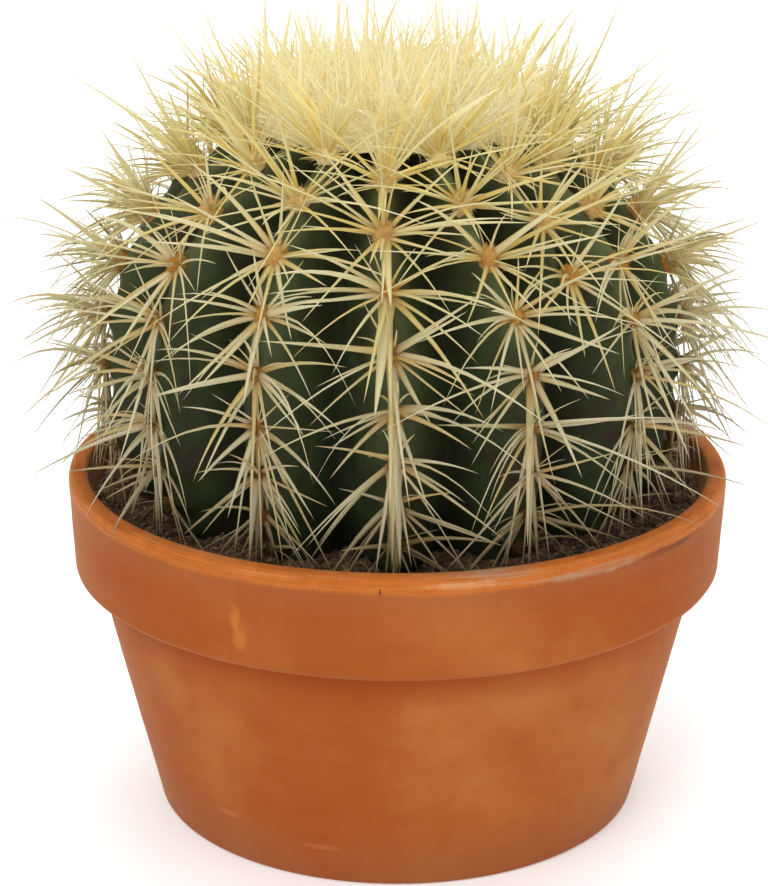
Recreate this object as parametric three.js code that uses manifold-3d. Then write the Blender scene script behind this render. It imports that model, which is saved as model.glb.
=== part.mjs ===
// A round cactus in a low terracotta pot, in millimetres, +Z up, standing on z = 0.
import * as THREE from 'three';
import { mergeVertices } from 'three/addons/utils/BufferGeometryUtils.js';
import Module from 'manifold-3d';

const wasm = await Module();
wasm.setup();

// Pot: a tapered pan under a wider collar
const potHeight = 96;
const rimRadius = 90;
const rimThickness = 5.4;
const lipRound = 3.5;
const collarHeight = 27.4;
const collarFootRadius = 88.6;
const shoulderRadius = 82.9;
const baseRadius = 67.2;
const edgeRound = 1.5;
const wall = 6.5;
const floorThickness = 9;
const drainRadius = 10;
const potSides = 48;

// Clearance between pieces that rest on each other, and a little more where walls slope
const gap = 0.3;
const sideGap = gap * 1.2;
const socketGrowth = gap * 1.9;

// Soil, domed a little towards the plant
const soilDrop = 8;
const soilCrown = 2;
const soilTop = potHeight - soilDrop + soilCrown;

// Cactus body, a little off the pot's axis: the crest line of a rib is an ellipse above the
// equator and a fuller superellipse below it, where the body narrows into the soil
const plantOffset = -1;
const equatorZ = 134;
const crestRadius = 78;
const crestRise = 61;
const crestFall = 74;
const lowerPower = 2.6;
const apexSink = 6;
const apexSinkRadius = 30;

// Ribs: evenly spaced low down, pushed apart higher up where a young rib starts between two
const fullRibs = 14;
const ribDepth = 17;
const ribRound = 0.25;
const youngRibPlace = 1.5;
const youngRibStartZ = 150;
const youngRibFullZ = 172;
const youngRibAreoles = 3;
const youngRibReach = 10;
const crowdingAngle = 8;
const crowdingStartZ = 138;
const crowdingFullZ = 190;
const crowdingFade = 0.4;
const stepsPerRib = 6;
const bodyRowsAbove = 10;
const bodyRowsBelow = 8;

// Areoles: their distance from the apex along the crest, for place j on a rib, is
// first + pitch * j - tighten * j * j; every second rib is shifted by half a place
const areoleFirst = 38.3;
const areolePitch = 17.8;
const areoleTighten = 0.48;
const areolesPerRib = 9;
const padLength = 3;
const padWidth = 2.6;
const padHeight = 1.8;

// Spines, and how they keep clear of the next row, the rim and the soil; an areole less than
// lowZone above the rim keeps its spines inside the pot
const spineRadius = 0.8;
const spineSides = 3;
const rowClearance = 0.4;
const rimClearance = 2;
const soilClearance = 1;
const lowZone = 8;
const shortestSpine = 4;

// Spines of an areole: sideways, outward and downhill shares of the direction, and length.
// Side spines come in mirrored pairs.
const spineFan = [
  { side: 0, out: 1, down: 0.25, length: 27 },
  { side: 0.86, out: 0.5, down: 0.1, length: 20 },
  { side: 0.6, out: 0.5, down: 0.75, length: 22 },
  { side: 0.35, out: 0.7, down: -0.7, length: 15 },
];

// Crown: a ring of young areoles round a cushion of wool
const crownRingRadius = 23;
const crownRingWidth = 3.4;
const crownRingHeight = 2;
const crownSpinesPerTurn = 22;
const crownTurns = [
  { phase: 0, shift: -1, lean: 4, length: 24 },
  { phase: 0.5, shift: 1, lean: 27, length: 25 },
];
const woolRadius = 19.2;
const woolSteps = 3;
const woolEdge = 1;
const woolTop = 199;

const TURN = Math.PI * 2;
const DEGREE = Math.PI / 180;
const UP = new THREE.Vector3(0, 0, 1);

const materials = {
  terracotta: { color: 0xb8652f, roughness: 0.85, metalness: 0 },
  soil: { color: 0x2e2119, roughness: 1, metalness: 0 },
  flesh: { color: 0x33452a, roughness: 0.5, metalness: 0 },
  spine: { color: 0xd9cb94, roughness: 0.55, metalness: 0 },
  wool: { color: 0xe6dc9c, roughness: 1, metalness: 0 },
};

function named(name, geometry, material) {
  const mesh = new THREE.Mesh(geometry, new THREE.MeshStandardMaterial(materials[material]));
  mesh.name = name;
  return mesh;
}

// A closed geometry as a solid
function solid(geometry) {
  const bare = geometry.clone();
  bare.deleteAttribute('normal');
  bare.deleteAttribute('uv');
  const merged = mergeVertices(bare, 1e-5);
  const vertProperties = new Float32Array(merged.attributes.position.array);
  const triVerts = new Uint32Array(merged.index.array);
  return new wasm.Manifold(new wasm.Mesh({ numProp: 3, vertProperties, triVerts }));
}

// A solid as a geometry
function geometryOf(manifold) {
  const mesh = manifold.getMesh();
  const geometry = new THREE.BufferGeometry();
  geometry.setAttribute('position', new THREE.BufferAttribute(mesh.vertProperties, 3));
  geometry.setIndex(new THREE.BufferAttribute(mesh.triVerts, 1));
  geometry.computeVertexNormals();
  return geometry;
}

// Part of an ellipse as profile points, from one angle to another
function arc(centreR, centreZ, radiusR, radiusZ, from, to, steps) {
  const points = [];
  for (let i = 0; i <= steps; i += 1) {
    const angle = (from + ((to - from) * i) / steps) * DEGREE;
    points.push(new THREE.Vector2(centreR + radiusR * Math.cos(angle), centreZ + radiusZ * Math.sin(angle)));
  }
  return points;
}

// A profile of (radius, height) points turned about Z
function turned(profile, sides) {
  return new THREE.LatheGeometry(profile, sides).rotateX(Math.PI / 2);
}

// Inside of the pot at a height: steeper in the body than in the collar
function potInnerRadius(z) {
  const shoulderZ = potHeight - collarHeight;
  const lipZ = potHeight - lipRound;
  const shoulderInner = shoulderRadius - wall;
  if (z > shoulderZ) {
    return THREE.MathUtils.mapLinear(z, shoulderZ, lipZ, shoulderInner, rimRadius - rimThickness);
  }
  return THREE.MathUtils.mapLinear(z, 0, shoulderZ, baseRadius - wall, shoulderInner);
}

// Pot: one closed profile round the wall, the lip, the floor and the drain hole
function pot() {
  const shoulderZ = potHeight - collarHeight;
  const lipHalf = rimThickness / 2;
  const profile = [
    new THREE.Vector2(drainRadius, 0),
    ...arc(baseRadius - edgeRound, edgeRound, edgeRound, edgeRound, -90, 0, 2),
    new THREE.Vector2(shoulderRadius, shoulderZ),
    ...arc(collarFootRadius - edgeRound, shoulderZ + edgeRound, edgeRound, edgeRound, -90, 0, 2),
    ...arc(rimRadius - lipHalf, potHeight - lipRound, lipHalf, lipRound, 0, 180, 6),
    new THREE.Vector2(potInnerRadius(shoulderZ), shoulderZ),
    new THREE.Vector2(potInnerRadius(floorThickness), floorThickness),
    new THREE.Vector2(drainRadius, floorThickness),
    new THREE.Vector2(drainRadius, 0),
  ];
  return turned(profile, potSides);
}

// The crest line of a rib in the (radius, height) plane, from the foot of the body to its apex
class CrestLine extends THREE.Curve {
  getPoint(t, target = new THREE.Vector2()) {
    const angle = (t - 0.5) * Math.PI;
    const across = Math.max(Math.cos(angle), 0);
    const along = Math.sin(angle);
    if (along >= 0) {
      return target.set(crestRadius * across, equatorZ + crestRise * along);
    }
    const power = 2 / lowerPower;
    return target.set(crestRadius * across ** power, equatorZ - crestFall * (-along) ** power);
  }
}

const crest = new CrestLine();
crest.arcLengthDivisions = 600;
const crestLength = crest.getLength();

// How far the growing point is sunk below the crest line's own apex
function sinkAt(radius) {
  return apexSink * Math.max(1 - radius / apexSinkRadius, 0) ** 2;
}

// How many places round the plant a rib's own place is from the young rib
function placesFromYoung(place) {
  const offset = place - youngRibPlace;
  return offset - fullRibs * Math.round(offset / fullRibs);
}

// Azimuth of a rib at a height, in radians, 0 at the front and growing towards +X.
// The ribs beside the young rib stand apart, and those farther round less so.
function ribAzimuth(place, z) {
  const away = placesFromYoung(place);
  const spread = crowdingAngle * THREE.MathUtils.smoothstep(z, crowdingStartZ, crowdingFullZ);
  const push = Math.sign(away) * spread * crowdingFade ** Math.max(Math.abs(away) - 0.5, 0);
  return ((360 / fullRibs) * place + push) * DEGREE;
}

// Rib section: 0 on the crest, 1 in the valley, with a rounded crest
function ribSection(fromCrest) {
  const rise = Math.hypot(fromCrest, ribRound) - ribRound;
  return rise / (Math.hypot(1, ribRound) - ribRound);
}

// The gap between two full ribs that the young rib grows in
function holdsYoungRib(place) {
  return Math.abs(placesFromYoung(place + 0.5)) < 0.1;
}

// Depth below the crest line, 0 to 1, at a fraction of the way from a full rib to the next
function depthBetween(place, fraction, z) {
  const plain = ribSection(1 - Math.abs(1 - 2 * fraction));
  if (!holdsYoungRib(place)) {
    return plain;
  }
  const young = THREE.MathUtils.smoothstep(z, youngRibStartZ, youngRibFullZ);
  const split = ribSection(1 - Math.abs(1 - ((4 * fraction) % 2)));
  return THREE.MathUtils.lerp(plain, split, young);
}

// The ribbed body, grown outward by a clearance where it serves as a cutter
function bodyGeometry(grow) {
  const rows = [];
  const rowCount = bodyRowsAbove + bodyRowsBelow;
  for (let row = 1; row < rowCount; row += 1) {
    const t = row < bodyRowsBelow
      ? (0.5 * row) / bodyRowsBelow
      : 0.5 + (0.5 * (row - bodyRowsBelow)) / bodyRowsAbove;
    const point = crest.getPoint(t);
    const tangent = crest.getTangent(t);
    const depth = (ribDepth * point.x) / crestRadius;
    const ring = [];
    for (let place = 0; place < fullRibs; place += 1) {
      const steps = holdsYoungRib(place) ? 2 * stepsPerRib : stepsPerRib;
      for (let step = 0; step < steps; step += 1) {
        const fraction = step / steps;
        const start = ribAzimuth(place, point.y);
        const azimuth = THREE.MathUtils.lerp(start, ribAzimuth(place + 1, point.y), fraction);
        const inward = depth * depthBetween(place, fraction, point.y) - grow;
        const radius = point.x - inward * tangent.y;
        const z = point.y + inward * tangent.x - sinkAt(point.x);
        ring.push([radius * Math.sin(azimuth), -radius * Math.cos(azimuth), z]);
      }
    }
    rows.push(ring);
  }
  return closedRings(rows, equatorZ - crestFall - grow, equatorZ + crestRise - apexSink + grow);
}

// Rings of points, lowest first, joined by quads and closed by a point at each end
function closedRings(rings, bottomZ, topZ) {
  const count = rings[0].length;
  const positions = [0, 0, bottomZ, ...rings.flat(2), 0, 0, topZ];
  const top = rings.length * count + 1;
  const index = [];
  for (let side = 0; side < count; side += 1) {
    const next = (side + 1) % count;
    index.push(0, 1 + next, 1 + side);
    for (let row = 0; row + 1 < rings.length; row += 1) {
      const a = 1 + row * count + side;
      const b = 1 + row * count + next;
      index.push(a, b, b + count, a, b + count, a + count);
    }
    index.push(top - count + side, top - count + next, top);
  }
  const geometry = new THREE.BufferGeometry();
  geometry.setAttribute('position', new THREE.Float32BufferAttribute(positions, 3));
  geometry.setIndex(index);
  geometry.computeVertexNormals();
  return geometry;
}

// Soil: fills the pot inside, domed a little towards the plant, with a socket for its foot
function soil() {
  const bottom = floorThickness + gap;
  const edgeZ = potHeight - soilDrop;
  const shoulderZ = potHeight - collarHeight;
  const profile = [
    new THREE.Vector2(0, bottom),
    new THREE.Vector2(potInnerRadius(bottom) - sideGap, bottom),
    new THREE.Vector2(potInnerRadius(shoulderZ) - sideGap, shoulderZ),
    new THREE.Vector2(potInnerRadius(edgeZ) - sideGap, edgeZ),
    new THREE.Vector2(0, soilTop),
  ];
  const fill = solid(turned(profile, potSides));
  const socket = solid(bodyGeometry(socketGrowth)).translate([plantOffset, 0, 0]);
  return geometryOf(fill.subtract(socket));
}

// A tapered spine from a base point along a direction
function spine(base, direction, length) {
  const geometry = new THREE.ConeGeometry(spineRadius, length, spineSides);
  geometry.translate(0, length / 2, 0);
  const turn = new THREE.Quaternion().setFromUnitVectors(new THREE.Vector3(0, 1, 0), direction);
  return solid(geometry.applyQuaternion(turn).translate(base.x, base.y, base.z));
}

// The areoles of a rib: centre, outward normal, sideways and downhill directions
function areoles(rib) {
  const list = [];
  for (let i = 0; i < rib.count; i += 1) {
    const j = i + rib.shift;
    const along = areoleFirst + areolePitch * j - areoleTighten * j * j;
    const point = crest.getPointAt(1 - along / crestLength);
    const tangent = crest.getTangentAt(1 - along / crestLength);
    const azimuth = ribAzimuth(rib.place, point.y);
    const outward = new THREE.Vector3(Math.sin(azimuth), -Math.cos(azimuth), 0);
    const sideways = new THREE.Vector3(Math.cos(azimuth), Math.sin(azimuth), 0);
    const normal = outward.clone().multiplyScalar(tangent.y).addScaledVector(UP, -tangent.x);
    const downhill = outward.clone().multiplyScalar(-tangent.x).addScaledVector(UP, -tangent.y);
    const centre = outward.clone().multiplyScalar(point.x).addScaledVector(UP, point.y);
    centre.addScaledVector(normal, gap + padHeight);
    list.push({ centre, normal, downhill, sideways, outward, topmost: i === 0 });
  }
  return list;
}

// The felt pad of an areole, with each spine drawn out of the facet that faces its way
function areoleSolid(areole, tips) {
  const basis = new THREE.Matrix4().makeBasis(areole.downhill, areole.sideways, areole.normal);
  basis.setPosition(areole.centre);
  const pad = new THREE.IcosahedronGeometry(1, 0).scale(padLength, padWidth, padHeight);
  const corners = pad.applyMatrix4(basis).attributes.position;
  const facets = [];
  for (let i = 0; i < corners.count; i += 3) {
    const facet = [0, 1, 2].map((k) => new THREE.Vector3().fromBufferAttribute(corners, i + k));
    const middle = facet[0].clone().add(facet[1]).add(facet[2]).divideScalar(3);
    facets.push({ facet, facing: middle.sub(areole.centre).normalize(), tip: null });
  }
  for (const tip of tips) {
    const way = tip.clone().sub(areole.centre).normalize();
    facets.sort((p, q) => q.facing.dot(way) - p.facing.dot(way));
    facets.find((one) => one.tip === null).tip = tip;
  }
  const points = [];
  for (const { facet: [a, b, c], tip } of facets) {
    points.push(...(tip ? [a, b, tip, b, c, tip, c, a, tip] : [a, b, c]));
  }
  return solid(new THREE.BufferGeometry().setFromPoints(points));
}

// Half the angle from a rib to the one beside it, on the side that hand gives
function halfSector(rib, hand, z) {
  const step = rib.young ? 0.5 : 1;
  const nearYoung = z > youngRibStartZ - youngRibReach;
  const meetsYoung = nearYoung && Math.abs(placesFromYoung(rib.place + hand * 0.5)) < 0.1;
  const neighbour = rib.place + hand * (meetsYoung ? 0.5 : step);
  return Math.abs(ribAzimuth(neighbour, z) - ribAzimuth(rib.place, z)) / 2;
}

// Longest spine that stays clear of the next row, the soil and the rim
function reach(areole, direction, wanted, half) {
  const sideways = Math.abs(direction.dot(areole.sideways));
  const outward = direction.dot(areole.outward);
  const radius = areole.centre.dot(areole.outward);
  const limits = [wanted];
  const closing = sideways - outward * Math.tan(half);
  if (closing > 0) {
    limits.push((radius * Math.tan(half) - spineRadius - rowClearance) / closing);
  }
  const low = areole.centre.z < potHeight + lowZone;
  if (low && outward > 0) {
    const inside = rimRadius - rimThickness - rimClearance - Math.abs(plantOffset);
    limits.push((inside - radius) / outward);
  }
  if (direction.z < 0) {
    const floor = low ? soilTop + soilClearance : potHeight + rimClearance;
    limits.push((floor - areole.centre.z) / direction.z);
  }
  return Math.min(...limits);
}

// Tips of the spines that fan out of an areole; the topmost leaves its uphill side to the crown
function spineTips(rib, areole) {
  const tips = [];
  const rays = areole.topmost ? spineFan.filter((ray) => ray.down > 0) : spineFan;
  for (const ray of rays) {
    for (const hand of ray.side === 0 ? [1] : [-1, 1]) {
      const direction = areole.sideways.clone().multiplyScalar(ray.side * hand);
      direction.addScaledVector(areole.normal, ray.out);
      direction.addScaledVector(areole.downhill, ray.down).normalize();
      const half = halfSector(rib, hand, areole.centre.z);
      const length = reach(areole, direction, ray.length, half);
      if (length > shortestSpine) {
        tips.push(areole.centre.clone().addScaledVector(direction, length));
      }
    }
  }
  return tips;
}

// One rib's row: areoles linked by the strong spines that point down over the next areole
function spineRow(rib) {
  const list = areoles(rib);
  let row = areoleSolid(list[0], spineTips(rib, list[0]));
  for (let i = 1; i < list.length; i += 1) {
    const above = list[i - 1].centre;
    const link = list[i].centre.clone().sub(above);
    const wayDown = link.clone().normalize();
    const toSoil = (above.z - soilTop - soilClearance) / -wayDown.z;
    row = row.add(areoleSolid(list[i], spineTips(rib, list[i])));
    row = row.add(spine(above, wayDown, Math.min(link.length() + padLength * 2, toSoil)));
  }
  return geometryOf(row);
}

// Height of the crest line above a radius near the apex
function crownSurface(radius) {
  return equatorZ + crestRise * Math.sqrt(1 - (radius / crestRadius) ** 2) - sinkAt(radius);
}

// Ring of young areoles with a turn of upright spines and a turn of leaning ones
function crownSpines() {
  const ringZ = crownSurface(crownRingRadius) + gap + crownRingHeight;
  const section = arc(crownRingRadius, ringZ, crownRingWidth, crownRingHeight, -180, 180, 6);
  section[section.length - 1] = section[0];
  let crown = solid(turned(section, crownSpinesPerTurn));
  for (const turn of crownTurns) {
    for (let i = 0; i < crownSpinesPerTurn; i += 1) {
      const azimuth = ((i + turn.phase) / crownSpinesPerTurn) * TURN;
      const outward = new THREE.Vector3(Math.sin(azimuth), -Math.cos(azimuth), 0);
      const base = outward.clone().multiplyScalar(crownRingRadius + turn.shift).addScaledVector(UP, ringZ);
      const lean = turn.lean * DEGREE;
      const direction = outward.clone().multiplyScalar(Math.sin(lean)).addScaledVector(UP, Math.cos(lean));
      crown = crown.add(spine(base, direction, turn.length));
    }
  }
  return geometryOf(crown);
}

// Cushion of wool on the sunken growing point
function crownWool() {
  const profile = [];
  for (let i = 0; i <= woolSteps; i += 1) {
    const radius = (woolRadius * i) / woolSteps;
    profile.push(new THREE.Vector2(radius, crownSurface(radius) + gap));
  }
  const rimZ = crownSurface(woolRadius) + gap + woolEdge;
  profile.push(...arc(0, rimZ, woolRadius, woolTop - rimZ, 0, 90, 4));
  return turned(profile, crownSpinesPerTurn);
}

const plant = new THREE.Group();
plant.position.set(plantOffset, 0, 0);
plant.add(named('cactus_body', bodyGeometry(0), 'flesh'));

const ribs = [];
for (let place = 0; place < fullRibs; place += 1) {
  const shifted = place % 2 === 0;
  const count = shifted ? areolesPerRib - 1 : areolesPerRib;
  ribs.push({ place, shift: shifted ? 0.5 : 0, count, young: false });
}
ribs.push({ place: youngRibPlace, shift: 0.5, count: youngRibAreoles, young: true });
ribs.forEach((rib, i) => {
  const number = String(i + 1).padStart(2, '0');
  plant.add(named(`spine_row_${number}`, spineRow(rib), 'spine'));
});
plant.add(named('crown_spines', crownSpines(), 'spine'));
plant.add(named('crown_wool', crownWool(), 'wool'));

const group = new THREE.Group();
group.add(named('pot', pot(), 'terracotta'));
group.add(named('soil', soil(), 'soil'));
group.add(plant);

export default group;
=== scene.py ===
import bpy
import math
import numpy as np
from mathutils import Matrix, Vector


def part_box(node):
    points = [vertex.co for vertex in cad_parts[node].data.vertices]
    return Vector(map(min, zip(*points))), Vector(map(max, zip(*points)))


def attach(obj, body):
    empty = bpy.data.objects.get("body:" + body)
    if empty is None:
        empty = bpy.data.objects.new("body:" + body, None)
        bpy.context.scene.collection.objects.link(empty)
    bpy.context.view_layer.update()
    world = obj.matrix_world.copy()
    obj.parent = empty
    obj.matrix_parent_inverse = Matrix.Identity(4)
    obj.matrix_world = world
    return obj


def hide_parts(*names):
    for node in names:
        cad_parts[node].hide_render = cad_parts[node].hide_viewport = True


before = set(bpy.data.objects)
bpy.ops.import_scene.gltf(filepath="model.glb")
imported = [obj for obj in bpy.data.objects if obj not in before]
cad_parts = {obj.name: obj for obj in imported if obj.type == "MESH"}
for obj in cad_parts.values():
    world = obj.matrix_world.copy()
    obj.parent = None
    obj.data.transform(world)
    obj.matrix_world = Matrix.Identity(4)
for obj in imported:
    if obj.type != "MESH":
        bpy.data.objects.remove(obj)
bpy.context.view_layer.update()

mm = 0.001
turn = 2 * math.pi
skyward = np.array([0, 0, 1.0])
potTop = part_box("pot")[1]
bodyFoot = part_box("cactus_body")[0]
print("frame loaded")


def gridQuads(rows, cols):
    # each quad joins a point, its right neighbour and the two in the next row, closed round the columns
    i, j = np.meshgrid(np.arange(rows - 1), np.arange(cols), indexing="ij")
    right = (j + 1) % cols
    quads = [i * cols + j, i * cols + right, (i + 1) * cols + right, (i + 1) * cols + j]
    return np.stack(quads, axis=-1).reshape(-1, 4)


def fan(ring, pole, flip=False):
    # triangles from a ring of points to one pole
    after = np.roll(ring, -1)
    poles = np.full(len(ring), pole)
    return np.stack([after, ring, poles] if flip else [ring, after, poles], axis=-1)


def sealed(surface, poles):
    # a grid of points turned outwards, with a pole over its first row and another under its last one
    rows, columns = surface.shape[:2]
    ring = np.arange(columns)
    ends = [fan(ring, rows * columns), fan(ring + (rows - 1) * columns, rows * columns + 1, True)]
    faces = [gridQuads(rows, columns)[:, ::-1], np.concatenate(ends)]
    return np.concatenate([surface.reshape(-1, 3), poles]), faces


def repeated(faceSets, count, each):
    # the same faces on every one of count copies that have each points
    shift = (np.arange(count) * each)[:, None, None]
    return [(faces + shift).reshape(-1, faces.shape[1]) for faces in faceSets]


def tinted(shape, *channels):
    # up to four values for every point of a shape, and ones for those left out
    filled = [*channels, 1, 1, 1, 1][:4]
    return np.stack([np.broadcast_to(value, shape) for value in filled], axis=-1).reshape(-1, 4)


def onCircle(r, angle, z):
    # points at a radius, a direction counted from +x, and a height
    return np.stack(np.broadcast_arrays(r * np.cos(angle), r * np.sin(angle), z), axis=-1)


def fromFront(r, angle, z):
    # the same with the direction counted from -y, the front, towards +x
    return onCircle(r, angle, z)[..., [1, 0, 2]] * (1, -1, 1)


def joined(shape, other):
    # two shapes as one
    faces = shape[1] + [f + len(shape[0]) for f in other[1]]
    return np.concatenate([shape[0], other[0]]), faces, np.concatenate([shape[2], other[2]])


def addObject(name, data):
    made = bpy.data.objects.new(name, data)
    bpy.context.collection.objects.link(made)
    return made


def makePiece(name, shape, material, nodes=()):
    # a shape is its points in millimetres, its faces sorted by their size, and often four tints a point
    points, faceSets, *tints = shape
    corners = np.concatenate([f.ravel() for f in faceSets])
    sizes = np.concatenate([np.full(len(f), f.shape[1]) for f in faceSets])
    mesh = bpy.data.meshes.new(name)
    mesh.vertices.add(len(points))
    mesh.vertices.foreach_set("co", (points * mm).astype(np.float32).ravel())
    mesh.loops.add(len(corners))
    mesh.loops.foreach_set("vertex_index", corners.astype(np.int32))
    mesh.polygons.add(len(sizes))
    mesh.polygons.foreach_set("loop_start", (np.cumsum(sizes) - sizes).astype(np.int32))
    mesh.update(calc_edges=True)
    mesh.validate()
    mesh.shade_smooth()
    for values in tints:
        layer = mesh.attributes.new("tint", "FLOAT_COLOR", "POINT")
        layer.data.foreach_set("color", values.astype(np.float32).ravel())
    mesh.materials.append(material)
    piece = addObject(name, mesh)
    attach(piece, "root")
    if nodes:
        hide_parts(*nodes)
    print(f"{name}: {len(sizes)} faces")


def unit(vectors):
    return vectors / np.linalg.norm(vectors, axis=-1, keepdims=True)


def smooth(x, low, high):
    # 3tt - 2ttt, with t going from 0 at low to 1 at high
    t = np.clip((x - low) / (high - low), 0, 1)
    return t * t * (3 - 2 * t)


def cloud(points, size, seed, octaves=3):
    # soft noise about -1 to 1: sines along random directions, each octave half as wide and strong
    rng = np.random.default_rng(seed)
    total = np.zeros(len(points))
    for octave in range(octaves):
        ways = unit(rng.normal(size=(7, 3)))
        waves = points @ (ways * turn / (size / 2 ** octave)).T + rng.uniform(0, turn, 7)
        total += np.sin(waves).sum(axis=1) * 0.5 ** octave
    return total / 4


def plug(value, socket):
    # a socket is linked, a number or colour is set
    if isinstance(value, bpy.types.NodeSocket):
        socket.id_data.links.new(value, socket)
    else:
        socket.default_value = (*value, 1) if socket.type == "RGBA" else value


def feed(shader, **sockets):
    # the same for a shader's sockets by name, with _ for each space
    for key, value in sockets.items():
        plug(value, shader.inputs[key.replace("_", " ")])


def newMaterial(name, **sockets):
    material = bpy.data.materials.new(name)
    material.use_nodes = True
    shader = material.node_tree.nodes["Principled BSDF"]
    feed(shader, **sockets)
    return material, shader


def addNode(tree, kind, **settings):
    made = tree.nodes.new("ShaderNode" + kind)
    for key, value in settings.items():
        setattr(made, key, value)
    return made


def node(kind, inputs, **settings):
    # a node in the same tree as the first socket that feeds it
    tree = next(value.id_data for value in inputs.values() if isinstance(value, bpy.types.NodeSocket))
    made = addNode(tree, kind, **settings)
    for key, value in inputs.items():
        plug(value, made.inputs[key])
    return made


def ramp(factor, stops):
    made = node("ValToRGB", {"Fac": factor})
    elements = made.color_ramp.elements
    while len(elements) < len(stops):
        elements.new(0.5)
    for element, (at, colour) in zip(elements, stops.items()):
        element.position = at
        element.color = (*colour, 1)
    return made.outputs["Color"]


def noise(vector, scale, detail, rough, stretch=None):
    if stretch:
        vector = node("Mapping", {"Vector": vector, "Scale": stretch}).outputs["Vector"]
    settings = {"Vector": vector, "Scale": scale, "Detail": detail, "Roughness": rough}
    return node("TexNoise", settings).outputs["Fac"]


def blend(factor, a, b, kind="MIX"):
    return node("Mix", {0: factor, 6: a, 7: b}, data_type="RGBA", blend_type=kind).outputs[2]


def layered(colour, coats):
    # coats over a colour, each with the mask that says where it lies
    for mask, coat in coats:
        colour = blend(mask, colour, coat)
    return colour


def calc(operation, a, b, kind="Math"):
    return node(kind, {0: a, 1: b}, operation=operation).outputs[0]


def times(a, b):
    return calc("MULTIPLY", a, b)


def spread(value, low, high, newLow=0, newHigh=1):
    ends = {"Value": value, "From Min": low, "From Max": high, "To Min": newLow, "To Max": newHigh}
    return node("MapRange", ends).outputs["Result"]


def metres(sizes):
    return [size * mm for size in sizes]


def fadeIn(z, heights, *ends):
    # comes in between two heights
    return spread(z, *metres(heights), *ends)


def band(z, heights):
    # one between the two middle heights, fading out towards the outer two
    return times(fadeIn(z, heights[:2]), fadeIn(z, heights[:1:-1]))


def objectPoint(material):
    # the place on the object, and its height
    spot = addNode(material.node_tree, "TexCoord").outputs["Object"]
    return spot, node("SeparateXYZ", {"Vector": spot}).outputs["Z"]


def tintOf(material):
    # the four values that the points of a piece carry
    picked = addNode(material.node_tree, "Attribute", attribute_name="tint")
    parts = node("SeparateColor", {"Color": picked.outputs["Color"]})
    return (*parts.outputs[:3], picked.outputs["Alpha"])


def roughen(shader, height, strength, distance):
    bump = node("Bump", {"Strength": strength, "Distance": distance, "Height": height})
    feed(shader, Normal=bump.outputs["Normal"])


def addGroup(name, inputs, outputs):
    # three values make a vector input, one value a number
    group = bpy.data.node_groups.new(name, "ShaderNodeTree")
    for key, value in inputs.items():
        kind = "NodeSocketVector" if isinstance(value, tuple) else "NodeSocketFloat"
        group.interface.new_socket(name=key, in_out="INPUT", socket_type=kind).default_value = value
    for key in outputs:
        group.interface.new_socket(name=key, in_out="OUTPUT", socket_type="NodeSocketFloat")
    entry = group.nodes.new("NodeGroupInput").outputs
    leave = group.nodes.new("NodeGroupOutput").inputs
    return group, entry, leave


def useGroup(group, inputs):
    return node("Group", inputs, node_tree=group).outputs


def buildGrain():
    # a soft patchy mask and a fine height, for clay, flesh, soil and wool
    inputs = {"Vector": (0, 0, 0), "Patch Scale": 40, "Grain Scale": 600, "Contrast": 0.2}
    group, entry, leave = addGroup("grain", inputs, ["Mask", "Height"])
    patches = noise(entry["Vector"], entry["Patch Scale"], 5, 0.6)
    low, high = (calc(operation, 0.5, entry["Contrast"]) for operation in ("SUBTRACT", "ADD"))
    plug(spread(patches, low, high), leave["Mask"])
    plug(noise(entry["Vector"], entry["Grain Scale"], 4, 0.65), leave["Height"])
    return group


def buildMark():
    # one worn or smeared spot: the distance from a centre in units of its size, with a ragged edge
    inputs = {"Vector": (0, 0, 0), "Centre": (0, 0, 0), "Size": (1, 1, 1), "Ragged": 0.5, "Edge Scale": 300}
    group, entry, leave = addGroup("mark", inputs, ["Mask"])
    offset = calc("SUBTRACT", entry["Vector"], entry["Centre"], "VectorMath")
    scaled = calc("DIVIDE", offset, entry["Size"], "VectorMath")
    far = node("VectorMath", {0: scaled}, operation="LENGTH").outputs["Value"]
    ragged = noise(entry["Vector"], entry["Edge Scale"], 4, 0.7)
    shift = times(calc("SUBTRACT", ragged, 0.5), entry["Ragged"])
    plug(spread(calc("ADD", far, times(shift, 4)), 1, 0.45), leave["Mask"])
    return group


grain = buildGrain()
mark = buildMark()


def grainOf(spot, patchScale, grainScale, contrast):
    return useGroup(grain, {"Vector": spot, "Patch Scale": patchScale, "Grain Scale": grainScale,
                            "Contrast": contrast})


view = {"target": (-3.56, 0, 100.04), "distance": 709.2, "elevation": 18.85, "lens": 104.8, "sensor": 36}


def makeCamera():
    camera = addObject("camera", bpy.data.cameras.new("camera"))
    camera.data.lens = view["lens"]
    camera.data.sensor_width = view["sensor"]
    tilt = math.radians(view["elevation"])
    back = Vector((0, -math.cos(tilt), math.sin(tilt)))
    camera.location = (Vector(view["target"]) + back * view["distance"]) * mm
    camera.rotation_euler = (-back).to_track_quat("-Z", "Y").to_euler()
    camera.data.clip_start = 0.01
    bpy.context.scene.camera = camera
    bpy.context.scene.view_settings.view_transform = "Standard"


studio = {
    "sky": 0.36, "floorSize": 30, "floorColour": (0.96, 0.96, 0.96), "floorGlow": 0.26,
    # name: where from, softness in degrees, strength
    "lamps": {
        "keyLamp": ((-0.45, -0.85, 0.95), 40, 1.08),
        "fillLamp": ((0.85, -0.75, 0.6), 50, 0.43),
        "topLamp": ((0, 0.1, 1.25), 60, 1.15),
        "rearLamp": ((0.2, 1, 0.9), 50, 0.75),
    },
}


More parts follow.
